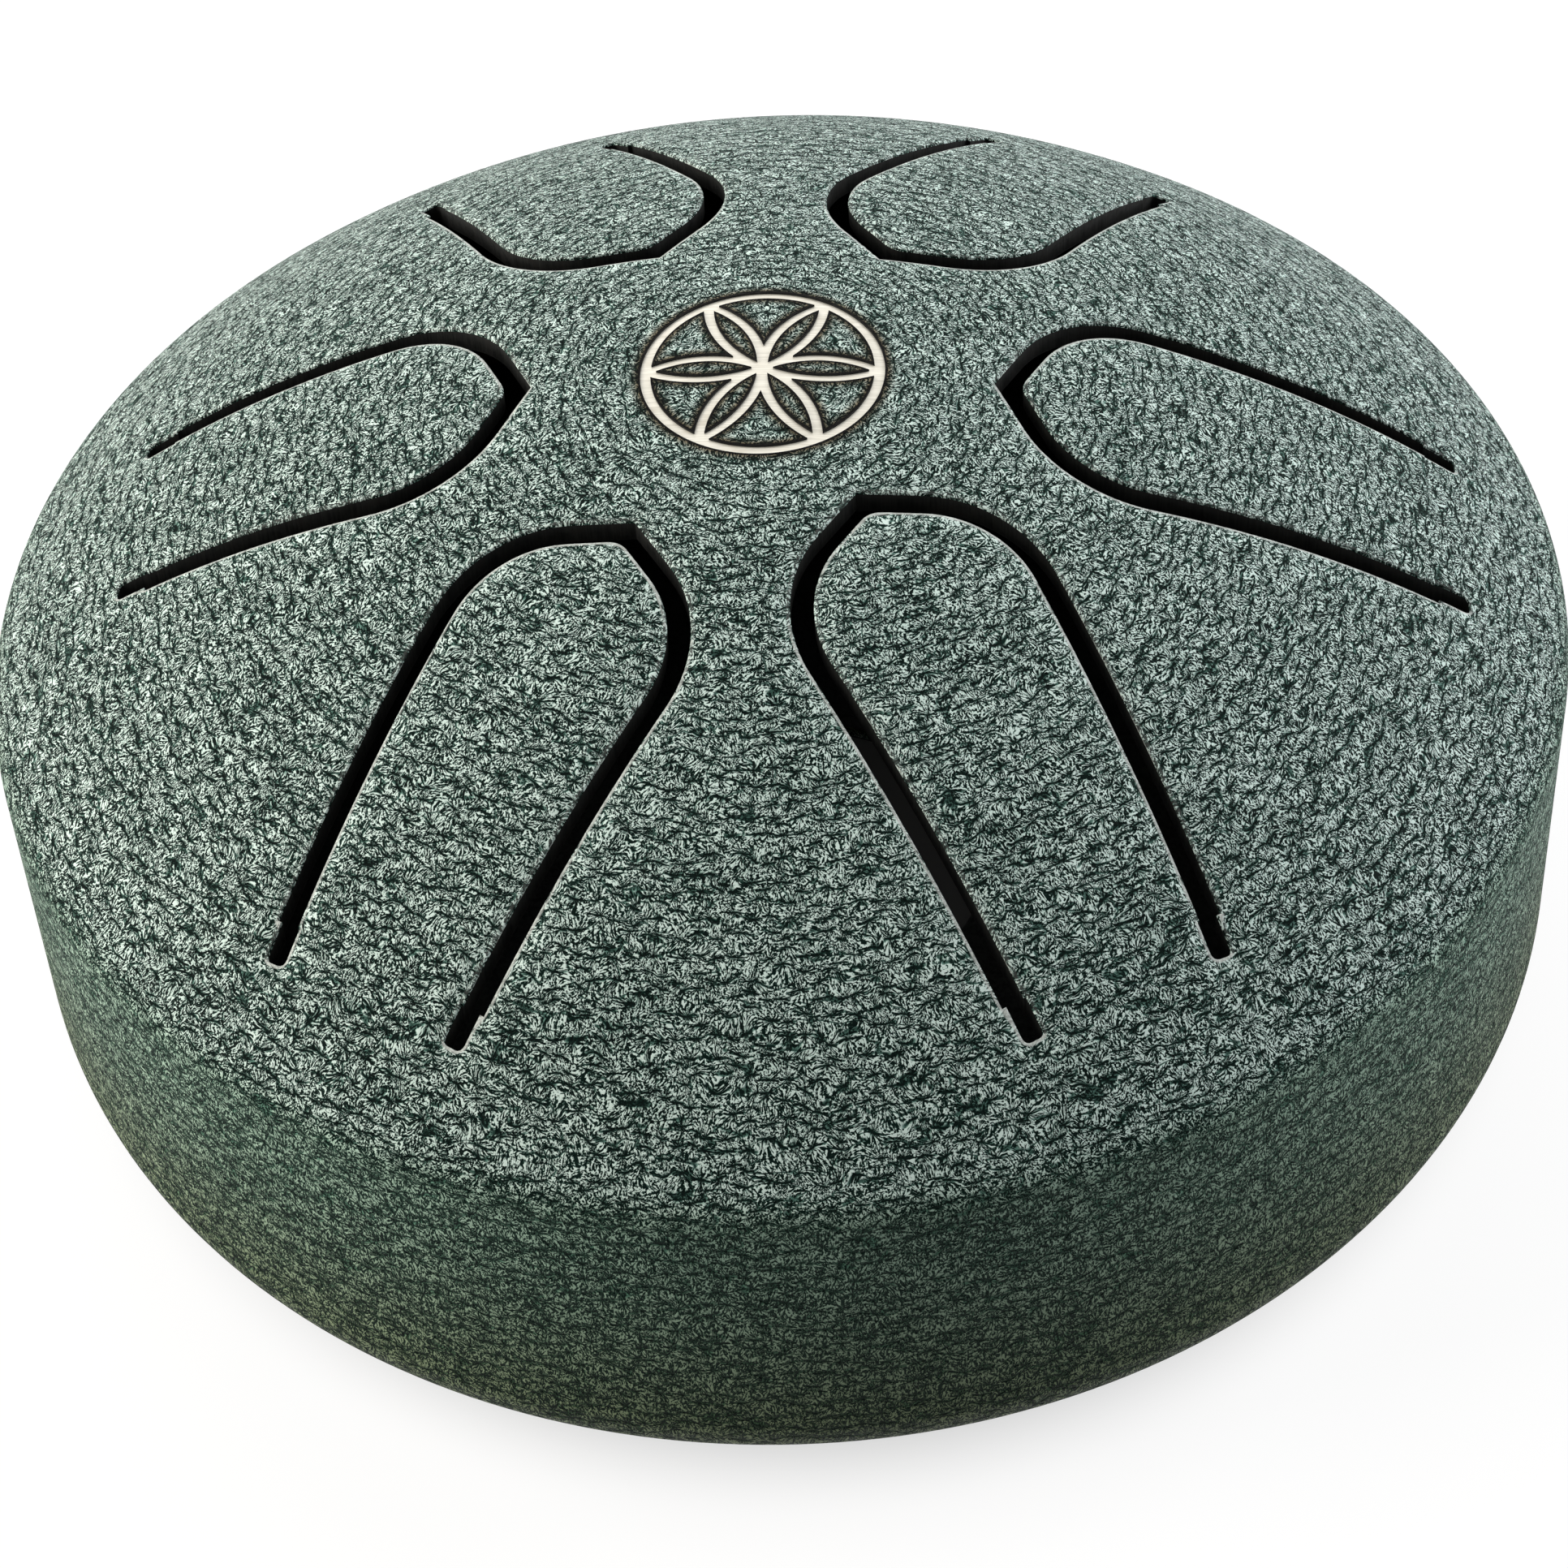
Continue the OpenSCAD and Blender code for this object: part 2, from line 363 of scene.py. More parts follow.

# %% [markdown]
# The coat is thicker and paler along a slot and pale at its very edge, and a painted highlight
# makes both brighter where the edge looks to the back.
# So each point of the blank keeps two values for the coat's material: how far the nearest slot is,
# and how much it lies to the back of the point. A search tree of points along the outlines tells.

# %% Distance to the slots
outline_pitch = 0.1 * MM
outline_points = []
for slot in slots:
    for (x0, y0), (x1, y1) in zip(slot, slot[1:] + slot[:1]):
        steps = max(1, math.ceil(math.hypot(x1 - x0, y1 - y0) / outline_pitch))
        for i in range(steps):
            outline_points.append((x0 + (x1 - x0) * i / steps, y0 + (y1 - y0) * i / steps, 0))
near_slot = kdtree.KDTree(len(outline_points))
for i, point in enumerate(outline_points):
    near_slot.insert(point, i)
near_slot.balance()
gaps, sides = [], []
for vertex in shell.data.vertices:
    spot = Vector((vertex.co.x, vertex.co.y, 0))
    nearest, _, distance = near_slot.find(spot)
    gaps.append(distance / MM)
    sides.append((nearest - spot).normalized().y if distance > hair else 0)
for name, values in (("slot_gap", gaps), ("slot_side", sides)):
    shell.data.attributes.new(name, "FLOAT", "POINT").data.foreach_set("value", values)
print("points along the slots:", len(outline_points))

# %% [markdown]
# ## Pressing
#
# The real press pushes the disc into a die. Here a formula does it: each point keeps its place
# seen from above, its depth in the sheet stays its depth, and the inner face draws in a little at
# the rim, where the bend begins.

# %% Press the blank
inner_rim_r = shoulder_x + (shoulder_r - sheet_t) * math.cos(shoulder_turn)
level_r = 34.5 * MM


def ball_height(r, ball_r):
    """Height of the ball's surface at the radius r from the axis."""
    return dome_z + math.sqrt(ball_r**2 - r**2)


def pressed(point):
    """Where a point of the flat blank lies in the dome."""
    share = -point.z / sheet_t
    r = math.hypot(point.x, point.y)
    if r > level_r:
        drawn = level_r + (r - level_r) * (inner_rim_r - level_r) / (rim_r - level_r)
        stretch = 1 + share * (drawn / r - 1)
    else:
        stretch = 1
    outer = ball_height(r * stretch, dome_r)
    inner = ball_height(r * stretch, dome_r - sheet_t)
    return Vector((point.x * stretch, point.y * stretch, outer + share * (inner - outer)))


for vertex in shell.data.vertices:
    vertex.co = pressed(vertex.co)
shell.data.update()
print("the pressed rim lies", round(ball_height(rim_r, dome_r) / MM, 2), "mm above the floor")

# %% [markdown]
# ## Shoulder and side wall
#
# The rim of the blank is one band of faces. It is extruded ring by ring: first round the shoulder,
# with a large bend outside and a small one inside, then straight down the wall to the bevel that
# the weld fills. An outer and an inner profile, point for point, say where each ring goes.

# %% Pull the rim down
bend_steps = 10
wall_steps = 12
turn = math.degrees(shoulder_turn)
outer_path = arc((shoulder_x, shoulder_z), shoulder_r, turn, 0, bend_steps)[1:]
inner_path = arc((shoulder_x, shoulder_z), shoulder_r - sheet_t, turn, 0, bend_steps)[1:]
outer_end = seam_z + weld_w / 2
inner_end = seam_z + weld_root_w / 2
for i in range(1, wall_steps + 1):
    share = i / wall_steps
    outer_path.append((body_r, shoulder_z + (outer_end - shoulder_z) * share))
    inner_path.append((body_r - sheet_t, shoulder_z + (inner_end - shoulder_z) * share))

work_on(shell)
bpy.ops.object.mode_set(mode="EDIT")
bpy.ops.mesh.select_all(action="DESELECT")
mesh = bmesh.from_edit_mesh(shell.data)
for face in mesh.faces:
    at_rim = face.calc_center_median().xy.length > (inner_rim_r + level_r) / 2
    upright = abs(face.normal.z) < nearly_level
    face.select_set(at_rim and upright and face.material_index == CUT)
for (outer_r, outer_z), (inner_r, inner_z) in zip(outer_path, inner_path):
    bpy.ops.mesh.extrude_region()
    mesh = bmesh.from_edit_mesh(shell.data)
    sheet_depth = mesh.verts.layers.float["sheet_depth"]
    for vertex in [v for v in mesh.verts if v.select]:
        r, z = (outer_r, outer_z) if vertex[sheet_depth] < 0.5 else (inner_r, inner_z)
        out = vertex.co.xy.normalized() * r
        vertex.co = (out.x, out.y, z)
    bmesh.update_edit_mesh(shell.data)
bpy.ops.object.mode_set(mode="OBJECT")
for face in shell.data.polygons:
    if face.center.z < ball_height(rim_r, dome_r) and face.center.xy.length > inner_rim_r:
        out = face.normal.dot(Vector((face.center.x, face.center.y, 0)).normalized())
        if abs(face.normal.z) < nearly_level:
            face.material_index = PAINT if out > 0 else INSIDE
print("shell with its wall:", len(shell.data.polygons), "faces")

# %% [markdown]
# ## True normals
#
# Between its points a mesh is flat, and smooth shading only guesses the surface from neighbouring
# faces, which goes wrong where large faces meet thin ones at a slot. The shape is known here: a
# ball, a bend and a cylinder. So the normals of the smooth faces are worked out from it, and only
# the rounded edges keep the guess.


# %% True normals of the shell
def true_normal(point, outside):
    """The normal of the smooth shell at a point of its outer or inner surface."""
    out = Vector((point.x, point.y, 0)).normalized()
    r = math.hypot(point.x, point.y)
    edge = rim_r if outside else inner_rim_r
    if r < edge + hair and point.z > shoulder_z:
        normal = point - Vector((0, 0, dome_z))
    elif point.z > shoulder_z:
        normal = out * (r - shoulder_x) + Vector((0, 0, point.z - shoulder_z))
    else:
        normal = out
    return normal.normalized() if outside else -normal.normalized()


def set_true_normals(piece):
    """Gives the smooth faces their true normals and leaves the others as they are."""
    mesh = piece.data
    depths = [d.value for d in mesh.attributes["sheet_depth"].data]
    skin = 0.001
    normals = [Vector((0, 0, 0))] * len(mesh.loops)
    for face in mesh.polygons:
        inner = [depths[v] > 1 - skin for v in face.vertices]
        if all(inner):
            on_surface = inner
        elif any(inner) or face.material_index == CUT:
            continue
        elif face.material_index == STEEL:
            on_surface = [True] * len(inner)
        else:
            on_surface = [depths[v] < skin for v in face.vertices]
        for loop, vertex, smooth in zip(face.loop_indices, face.vertices, on_surface):
            if smooth:
                normals[loop] = true_normal(mesh.vertices[vertex].co, not all(inner))
    mesh.normals_split_custom_set(normals)


work_on(shell)
bpy.ops.object.shade_smooth_by_angle(angle=math.radians(40))
set_true_normals(shell)
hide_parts("top_shell")
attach(shell, "root")

# %% [markdown]
# ## The bottom pan
#
# The lower shell is drawn from the same sheet: a flat base, a rounded corner that the hand closes
# on, and a short wall up to the weld. It is one profile spun round the drum's axis, the way a
# metal spinner would form it. The sound port's edge is rounded, because a cut edge would split
# the paint there. The feet's holes are drilled by three cylinders.


# %% Spinning
def spun(name, profile, centre=(0, 0), steps=round_steps, closed=True):
    """A solid spun from a profile of (radius, height) points round an upright axis."""
    mesh = bpy.data.meshes.new(name)
    count = len(profile)
    edges = [(i, (i + 1) % count) for i in range(count if closed else count - 1)]
    mesh.from_pydata([(centre[0] + r, centre[1], z) for r, z in profile], edges, [])
    piece = add(name, mesh)
    work_on(piece)
    bpy.ops.object.mode_set(mode="EDIT")
    bpy.ops.mesh.select_all(action="SELECT")
    bpy.ops.mesh.spin(steps=steps, angle=math.tau, center=(*centre, 0), axis=(0, 0, 1))
    bpy.ops.mesh.select_all(action="SELECT")
    bpy.ops.mesh.remove_doubles(threshold=merge_gap)
    bpy.ops.mesh.normals_make_consistent(inside=False)
    bpy.ops.object.mode_set(mode="OBJECT")
    print(name, "spun:", len(mesh.polygons), "faces")
    return piece


def smooth(piece, degrees):
    """Smooth shading up to an angle, in which the large flat faces weigh most."""
    work_on(piece)
    bpy.ops.object.shade_smooth_by_angle(angle=math.radians(degrees))
    bpy.ops.object.modifier_add(type="WEIGHTED_NORMAL")
    piece.modifiers[-1].keep_sharp = True
    bpy.ops.object.modifier_apply(modifier=piece.modifiers[-1].name)


# %% Pan
port_r = 10 * MM
port_edge_r = 0.3 * MM
base_r = 4.8 * MM
base_x = body_r - base_r
foot_circle_r = 24 * MM
foot_hole_r = 2 * MM
foot_angles = [90, 210, 330]
bend = (base_x, base_z + base_r)
base_top = base_z + sheet_t
port_x = port_r + port_edge_r
pan_profile = [(port_x, base_z)]
pan_profile += arc(bend, base_r, -90, 0, 20)
pan_profile += [(body_r, seam_z - weld_w / 2), (body_r - sheet_t, seam_z - weld_root_w / 2)]
pan_profile += arc(bend, base_r - sheet_t, 0, -90, 20)
pan_profile += arc((port_x, base_top - port_edge_r), port_edge_r, 90, 180, 4)
pan_profile += arc((port_x, base_z + port_edge_r), port_edge_r, 180, 270, 4)[:-1]
pan = spun("bottom_pan_skin", pan_profile)
for angle in foot_angles:
    (place,) = turned([(foot_circle_r, 0)], angle)
    work_on(pan)
    hole = (*place, base_z)
    bpy.ops.mesh.primitive_cylinder_add(vertices=48, radius=foot_hole_r, depth=3 * sheet_t, location=hole)
    cut(pan, bpy.context.object)
smooth(pan, 30)
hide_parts("bottom_pan")
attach(pan, "root")

# %% [markdown]
# ## The weld
#
# The seam is ground flush outside and painted over, so that only the inside shows a bead. A bead
# laid by hand is a row of overlapping drops. It is modelled as one: the ring is spun in many
# steps, and the bead's height then falls a little between one drop and the next.

# %% Weld ring
bead_w = 2.2 * MM
bead_h = 0.5 * MM
bead_r = (bead_h**2 + (bead_w / 2) ** 2) / (2 * bead_h)
bead_turn = math.degrees(math.asin(bead_w / 2 / bead_r))
weld_in_x = body_r - sheet_t
drops = 180
drop_steps = 6
drop_lean = 0.45
drop_fall = 0.3
weld_profile = [
    (weld_in_x, seam_z - weld_root_w / 2),
    (body_r, seam_z - weld_w / 2),
    (body_r, seam_z + weld_w / 2),
    (weld_in_x, seam_z + weld_root_w / 2),
]
weld_profile += arc((weld_in_x - bead_h + bead_r, seam_z), bead_r, 180 - bead_turn, 180 + bead_turn, 12)
weld = spun("seam_weld_ring", weld_profile, steps=drops * drop_steps)
for vertex in weld.data.vertices:
    r = vertex.co.xy.length
    rise = weld_in_x - r
    if rise > hair:
        turn = math.atan2(vertex.co.y, vertex.co.x)
        off = (vertex.co.z - seam_z) / (bead_w / 2)
        place = (turn / math.tau * drops + drop_lean * off**2) % 1
        valley = abs(2 * place - 1) ** 3
        wander = 0.06 * math.sin(5 * turn) + 0.05 * math.sin(17 * turn)
        height = rise * (0.94 - drop_fall * valley + wander * 0.5)
        vertex.co.xy *= (weld_in_x - height) / r
weld.data.update()
smooth(weld, 50)
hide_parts("seam_weld")
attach(weld, "root")

# %% [markdown]
# ## The feet
#
# Three moulded rubber feet are pushed into the base from below, and a barb inside keeps each
# there. One profile holds the whole foot: a dimple and two grip grooves in the sole, the parting
# line of the mould round the side, the neck in its hole and the barb. One foot is modelled, and
# the others are copies that are turned round the drum's axis.

# %% Rubber feet
foot_r = 4.5 * MM
foot_bevel = 0.8 * MM
foot_round_r = 0.3 * MM
foot_draft = 0.06 * MM
neck_r = foot_hole_r - 0.05 * MM
barb_r = 2.7 * MM
barb_low = base_top + 0.05 * MM
barb_top = base_top + 2 * MM
barb_tip_r = neck_r - 0.05 * MM
groove_w = 0.3 * MM
groove_d = 0.22 * MM
groove_rs = [2.2 * MM, 3.0 * MM]
dimple_r = 1.3 * MM
dimple_d = 0.6 * MM
dimple_edge_r = 0.15 * MM
parting_low_h = 0.1 * MM
parting_top_h = 0.04 * MM
barb_bevel = 0.1 * MM
foot_steps = 96


def sole_groove(r):
    """A round-bottomed groove in the sole, at the radius r."""
    section = [(-1, 0), (-0.7, 0.7), (0, 1), (0.7, 0.7), (1, 0)]
    return [(r + groove_w * x, groove_d * z) for x, z in section]


side_r = foot_r - foot_draft
foot_profile = [(0, dimple_d)]
for degrees in (20, 40, 60, 75):
    turn = math.radians(degrees)
    foot_profile.append((dimple_r * math.sin(turn), dimple_d * math.cos(turn)))
foot_profile += arc((dimple_r + dimple_edge_r, dimple_edge_r), dimple_edge_r, 180, 270, 4)
for r in groove_rs:
    foot_profile += sole_groove(r)
sole_edge = arc((foot_r - foot_bevel, foot_bevel), foot_bevel - foot_draft, -90, 0, 8)[1:]
foot_profile += [(r, max(z - foot_draft, 0)) for r, z in sole_edge]
parting_z = base_z * 0.55
foot_profile += [
    (side_r, parting_z - parting_low_h),
    (foot_r, parting_z - parting_top_h),
    (foot_r, parting_z + parting_top_h),
    (side_r, parting_z + parting_low_h),
]
foot_profile += arc((side_r - foot_round_r, base_z - foot_round_r), foot_round_r, 0, 90, 5)
foot_profile += [(neck_r, base_z), (neck_r, barb_low), (barb_r - barb_bevel, barb_low)]
foot_profile += [(barb_r, barb_low + barb_bevel), (barb_r - 0.3 * barb_bevel, barb_low + 3 * barb_bevel)]
foot_profile += arc((barb_tip_r - foot_round_r, barb_top - foot_round_r), foot_round_r, 20, 90, 5)
foot_profile.append((0, barb_top))
(first_place,) = turned([(foot_circle_r, 0)], foot_angles[0])
foot = spun("foot_1_rubber", foot_profile, first_place, foot_steps, closed=False)
smooth(foot, 35)
feet = [foot]
for i, angle in enumerate(foot_angles[1:], 2):
    work_on(foot)
    bpy.ops.object.duplicate()
    copy = bpy.context.object
    copy.name = f"foot_{i}_rubber"
    copy.data.transform(Matrix.Rotation(math.radians(angle - foot_angles[0]), 4, "Z"))
    feet.append(copy)
for i, foot in enumerate(feet, 1):
    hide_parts(f"foot_{i}")
    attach(foot, "root")
print("feet:", [f.name for f in feet])

# %% [markdown]
# ## Node helpers
#
# A material is a small program of nodes. Short functions keep it readable: each adds one node and
# gives back its output. A value may be a number, a colour or another node's output, so a line of
# code reads like a formula. Two more begin a material, and end it with its colour, its roughness
# and its relief.


# %% Node helpers
def fill(tree, socket, value):
    """Links an output to a socket, or sets the socket's value."""
    if isinstance(value, bpy.types.NodeSocket):
        tree.links.new(value, socket)
    else:
        socket.default_value = value


def node(tree, kind, inputs=None, **settings):
    """Adds a shader node, sets its settings and fills its inputs by name or number."""
    made = tree.nodes.new("ShaderNode" + kind)
    for name, value in settings.items():
        setattr(made, name, value)
    for key, value in (inputs or {}).items():
        fill(tree, made.inputs[key], value)
    return made


def calc(tree, operation, *values, clamp=False):
    """The output of one Math node."""
    inputs = dict(enumerate(values))
    return node(tree, "Math", inputs, operation=operation, use_clamp=clamp).outputs[0]


def plus(tree, *values, clamp=False):
    """The sum of two values."""
    return calc(tree, "ADD", *values, clamp=clamp)


def minus(tree, *values):
    """The first value less the second."""
    return calc(tree, "SUBTRACT", *values)


def times(tree, *values, clamp=False):
    """The product of two values."""
    return calc(tree, "MULTIPLY", *values, clamp=clamp)


def vector(tree, operation, *values, output=0):
    """An output of one Vector Math node."""
    inputs = dict(zip((0, "Scale" if operation == "SCALE" else 1), values))
    return node(tree, "VectorMath", inputs, operation=operation).outputs[output]


def combined(tree, x=0.0, y=0.0, z=0.0):
    """A vector from three values."""
    return node(tree, "CombineXYZ", {0: x, 1: y, 2: z}).outputs[0]


def spread(tree, value, low, high, to_low=0.0, to_high=1.0, kind="SMOOTHSTEP"):
    """The value moved from one range to another and held there."""
    names = {"Value": value, "From Min": low, "From Max": high, "To Min": to_low, "To Max": to_high}
    return node(tree, "MapRange", names, interpolation_type=kind).outputs[0]


def blend(tree, share, first, second, kind="RGBA", how="MIX"):
    """Two colours, vectors or numbers mixed by a share."""
    number = ("FLOAT", "VECTOR", "RGBA").index(kind)
    inputs = {0: share, 2 * number + 2: first, 2 * number + 3: second}
    return node(tree, "Mix", inputs, data_type=kind, blend_type=how).outputs[number]


def ramp(tree, value, first, *others):
    """The colour at a value, between stops that are pairs of a position and a colour."""
    made = node(tree, "ValToRGB", {0: value})
    stops = made.color_ramp.elements
    stops.remove(stops[1])
    stops[0].position, stops[0].color = first
    for position, colour in others:
        stops.new(position).color = colour
    return made.outputs[0]


def noise(tree, place, scale, detail=2.0):
    """The grey output of a Noise Texture."""
    return node(tree, "TexNoise", {"Vector": place, "Scale": scale, "Detail": detail}).outputs[0]


def rgb(r, g, b):
    """A colour written as on a screen, from 0 to 255, turned into linear light."""
    return (*[((c / 255 + 0.055) / 1.055) ** 2.4 if c > 10 else c / 255 / 12.92 for c in (r, g, b)], 1)


# %% Beginning and ending a material
def new_material(name):
    """A material, its node tree, its Principled shader and the piece's own coordinates."""
    made = bpy.data.materials.new(name)
    made.use_nodes = True
    tree = made.node_tree
    return made, tree, tree.nodes["Principled BSDF"], node(tree, "TexCoord").outputs["Object"]


def set_surface(tree, shader, colour, roughness, height, strength, distance):
    """Gives a material its colour, its roughness and the relief of its surface."""
    fill(tree, shader.inputs["Base Color"], colour)
    fill(tree, shader.inputs["Roughness"], roughness)
    bump = node(tree, "Bump", {"Height": height, "Strength": strength, "Distance": distance})
    fill(tree, shader.inputs["Normal"], bump.outputs[0])
    print("surface of", len(tree.nodes), "nodes, its relief", round(distance / MM, 3), "mm")


# %% [markdown]
# ## Wrinkle grain
#
# Leather-grain powder coat shrinks as it cures. It draws together round small pits that lie less
# than a millimetre apart. Fine strokes run out from each pit like pleats, and short creases run
# through the pits in rows round the drum. The pits are a flat Voronoi texture on a chart of the
# surface, because a solid one would be sliced between its pits and show blobs. The strokes mix
# fine noise with noise that is looked up by the direction from the pit, and hardly by the
# distance, so it runs radially. Round each pit they sink in a soft bowl. A crease is a dash
# through a pit at right angles to Across, or a line on which a slow noise crosses its middle
# value, looked up in coordinates of its own, Rows. All of it is one group, because outside and
# inside wear the same coat.

# %% Wrinkle grain group
grain = bpy.data.node_groups.new("Wrinkle grain", "ShaderNodeTree")
for label in ("Vector", "Chart", "Rows", "Across"):
    grain.interface.new_socket(label, in_out="INPUT", socket_type="NodeSocketVector")
for label, value in (("Cell", 0.75), ("Stroke", 0.085), ("Star", 0.55)):
    socket = grain.interface.new_socket(label, in_out="INPUT", socket_type="NodeSocketFloat")
    socket.default_value = value
for label in ("Height", "Stroke", "Crease", "Patch"):
    grain.interface.new_socket(label, in_out="OUTPUT", socket_type="NodeSocketFloat")
given = grain.nodes.new("NodeGroupInput").outputs
result = grain.nodes.new("NodeGroupOutput").inputs
bend_scale = 0.75
bend_reach = 0.9
pit_randomness = 0.85
star_r = 4.5
star_growth = 3.0
star_shuffle = 9.0
place = vector(grain, "SCALE", given["Vector"], 1 / MM)
slow = node(grain, "TexNoise", {"Vector": place, "Scale": bend_scale, "Detail": 1.0}).outputs[1]
drift = vector(grain, "SUBTRACT", slow, (0.5, 0.5, 0.5))
shift = vector(grain, "SCALE", drift, bend_reach)
wavy = vector(grain, "ADD", place, shift)
charted = vector(grain, "MULTIPLY", vector(grain, "ADD", given["Chart"], shift), (1, 1, 0))
in_cells = vector(grain, "SCALE", charted, calc(grain, "DIVIDE", 1.0, given["Cell"]))
layout = {"Vector": in_cells, "Scale": 1.0, "Randomness": pit_randomness}
pits = node(grain, "TexVoronoi", layout, voronoi_dimensions="2D").outputs
from_pit = vector(grain, "SUBTRACT", in_cells, pits["Position"])
reach = plus(grain, times(grain, pits["Distance"], star_growth), star_r)
star_place = vector(grain, "SCALE", vector(grain, "NORMALIZE", from_pit), reach)
star_place = vector(grain, "ADD", star_place, vector(grain, "SCALE", pits["Color"], star_shuffle))
star = noise(grain, star_place, 1.0)
fine = noise(grain, wavy, calc(grain, "DIVIDE", 1.0, given["Stroke"]))
pull = times(grain, minus(grain, star, fine), given["Star"])
stroke = spread(grain, plus(grain, fine, pull), 0.445, 0.552)
# The bowl lowers the strokes round each pit: in the relief, and in the coat's tone as painted shade.
bowl = spread(grain, pits["Distance"], 0.05, 0.42, -0.24, 0.07)
stroke = plus(grain, stroke, bowl, clamp=True)

# %% Creases of the grain
row_wander = 0.7
off_row = calc(grain, "ABSOLUTE", vector(grain, "DOT_PRODUCT", from_pit, given["Across"], output=1))
dash = spread(grain, off_row, 0.015, 0.08, 0.75, 0.0)
dash = times(grain, dash, spread(grain, pits["Distance"], 0.35, 0.85, 1.0, 0.0))
row_place = vector(grain, "ADD", given["Rows"], vector(grain, "SCALE", drift, row_wander))
row = calc(grain, "ABSOLUTE", minus(grain, noise(grain, row_place, 1.0, 1.0), 0.5))
row = spread(grain, row, 0.0, 0.024, 0.65, 0.0)
pit = spread(grain, pits["Distance"], 0.02, 0.13, 0.5, 0.0)
dark = calc(grain, "MAXIMUM", calc(grain, "MAXIMUM", pit, dash), row)
height = minus(grain, times(grain, stroke, 0.4), times(grain, dark, 0.6))
patch = noise(grain, place, 0.3)
for label, value in (("Height", height), ("Stroke", stroke), ("Crease", dark), ("Patch", patch)):
    fill(grain, result[label], value)
print("wrinkle grain:", len(grain.nodes), "nodes")

# %% [markdown]
# ## Powder coat
#
# The coat is a dark green-grey. Its raised strokes are pale, partly the coat's lighter tone and
# partly painted glints, and its pits and creases are nearly black, partly painted shade. Near the
# rosette's lines the laser's heat has browned it, and at their edge it is scorched black. The
# distance to those lines comes from a formula: the drawing is folded into a twelfth of the circle,
# where one arc and the ring are all that is left.

# %% Distance to the rosette's lines
coat, tree, shader, place = new_material("shell_coat")
flat = vector(tree, "MULTIPLY", place, (1 / MM, 1 / MM, 0))
parts = node(tree, "SeparateXYZ", {0: flat}).outputs
out_r = vector(tree, "LENGTH", flat, output=1)
round_turn = calc(tree, "ARCTAN2", parts[1], parts[0])
folded = calc(tree, "PINGPONG", plus(tree, round_turn, math.tau), math.radians(30))
folded_x = times(tree, out_r, calc(tree, "COSINE", folded))
folded_y = times(tree, out_r, calc(tree, "SINE", folded))
folded_place = combined(tree, folded_x, folded_y)
struck_from = (*[c / MM for c in struck(-60)], 0)
to_arc = vector(tree, "DISTANCE", folded_place, struck_from, output=1)
to_arc = calc(tree, "ABSOLUTE", minus(tree, to_arc, ring_r / MM))
to_arc = minus(tree, to_arc, petal_line_w / 2 / MM)
to_ring = calc(tree, "ABSOLUTE", minus(tree, out_r, ring_r / MM))
to_ring = minus(tree, to_ring, ring_line_w / 2 / MM)
beyond = times(tree, calc(tree, "GREATER_THAN", out_r, ring_r / MM), 9.0)
to_line = calc(tree, "MINIMUM", plus(tree, to_arc, beyond), to_ring)

# %% [markdown]
# ### The chart of the coat
#
# The grain needs a flat chart of the surface in millimetres. On the dome and the base that is the
# plan of the drum. On the side wall it is the way round and the way down, mirrored left and right
# so that it closes without a seam, and the strokes there are drawn out downwards, as in a coat
# that has sagged a little. The creases run round the drum, because their coordinates change more
# slowly round it than down it.

# %% Chart of the coat
pit_squeeze = 0.75
round_rate = 16.0
down_rate = 0.8
wall_sag = 0.45
level = node(tree, "SeparateXYZ", {0: place}).outputs[2]
off_base = spread(tree, level, base_z + base_r * 0.02, base_z + base_r * 0.2)
on_wall = spread(tree, level, shoulder_z, shoulder_z + shoulder_r, 1.0, 0.0)
on_wall = times(tree, on_wall, off_base)
at_side = calc(tree, "GREATER_THAN", on_wall, 0.02)
outwards = vector(tree, "NORMALIZE", flat)
path_out = minus(tree, out_r, times(tree, level, 1 / MM))
way_round = times(tree, calc(tree, "ABSOLUTE", round_turn), body_r / MM)
wall_chart = combined(tree, way_round, times(tree, path_out, pit_squeeze))
chart = blend(tree, at_side, flat, wall_chart, "VECTOR")
across = blend(tree, at_side, outwards, (0, 1, 0), "VECTOR")
down_rows = combined(tree, z=times(tree, path_out, down_rate))
rows = vector(tree, "ADD", vector(tree, "SCALE", outwards, round_rate), down_rows)
below = calc(tree, "MINIMUM", minus(tree, level, shoulder_z), 0.0)
sag = combined(tree, z=times(tree, below, wall_sag))
drawn = vector(tree, "SUBTRACT", place, sag)
coordinates = {"Vector": drawn, "Chart": chart, "Rows": rows, "Across": across}
wrinkle = node(tree, "Group", coordinates, node_tree=grain).outputs

# %% [markdown]
# ### The colours of the coat
#
# Along the slots the coat is thicker and paler, and at their very edge it is pale; a painted
# highlight makes both brighter where the edge looks to the back. On the side wall a thicker coat
# fills the strokes, so they stand out less, and its lower part is painted darker and more olive
# towards the base, as painted shade.

# %% Tone of the coat
slot_gap = node(tree, "Attribute", attribute_name="slot_gap").outputs["Fac"]
slot_side = node(tree, "Attribute", attribute_name="slot_side").outputs["Fac"]
# Painted highlight: the band along a slot is paler where its edge looks to the back, towards the lamps.
slot_side = spread(tree, slot_side, -0.1, 0.6, 0.25, 1.0)
slot_band_and_highlight = times(tree, spread(tree, slot_gap, 0.1, 1.2, 0.24, 0.0), slot_side)
slot_band_and_highlight = times(tree, slot_band_and_highlight, calc(tree, "GREATER_THAN", slot_gap, 0.001))
tone = plus(tree, wrinkle["Stroke"], slot_band_and_highlight)
tone = plus(tree, tone, spread(tree, wrinkle["Patch"], 0.3, 0.7, -0.06, 0.06, "LINEAR"))
